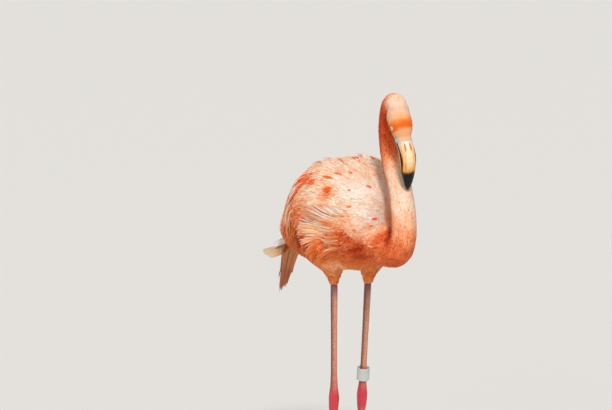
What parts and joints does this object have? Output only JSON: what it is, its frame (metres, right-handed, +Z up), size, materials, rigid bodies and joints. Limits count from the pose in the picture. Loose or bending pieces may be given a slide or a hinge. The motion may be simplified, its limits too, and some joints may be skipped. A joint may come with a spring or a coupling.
{
  "type": "flamingo",
  "caption": "Life-size standing flamingo at rest: neck bent in an S, bent bill hanging down, folded wings, long bare legs with webbed feet and a plain leg band.",
  "frame": {"origin": "on the floor, under the middle of the whole bird's box", "axes": "+X the way the breast faces, +Y the bird's left side, +Z up"},
  "size_m": [0.559, 0.2226, 0.9897],
  "materials": {
    "body_feathers": "soft feather, matt",
    "wing_feathers": "soft feather, matt",
    "neck_feathers": "short dense feather, matt",
    "face_feathers": "very short dense feather, matt",
    "bill_horn": "horn, satin",
    "eye": "wet, glossy",
    "leg_skin": "scaled skin, satin",
    "ankle_skin": "scaled skin, satin",
    "claw_horn": "horn, satin",
    "band_plastic": "moulded plastic, satin"
  },
  "bodies": {
    "root": {"trunk": "body_feathers", "wing_left": "wing_feathers", "wing_right": "wing_feathers", "neck_lower": "neck_feathers", "neck_middle": "neck_feathers", "neck_upper": "neck_feathers", "head": "face_feathers", "bill_upper": "bill_horn", "bill_lower": "bill_horn", "eye_left": "eye", "eye_right": "eye", "tail": "wing_feathers", "vent_plume": "wing_feathers", "thigh_right": "body_feathers", "shank_right": "leg_skin", "ankle_right": "ankle_skin", "tarsus_right": "leg_skin", "foot_right": "leg_skin", "claw_right_inner": "claw_horn", "claw_right_middle": "claw_horn", "claw_right_outer": "claw_horn", "claw_right_hind": "claw_horn", "thigh_left": "body_feathers", "shank_left": "leg_skin", "ankle_left": "ankle_skin", "tarsus_left": "leg_skin", "foot_left": "leg_skin", "claw_left_inner": "claw_horn", "claw_left_middle": "claw_horn", "claw_left_outer": "claw_horn", "claw_left_hind": "claw_horn", "leg_band": "band_plastic"}
  },
  "joints": []
}
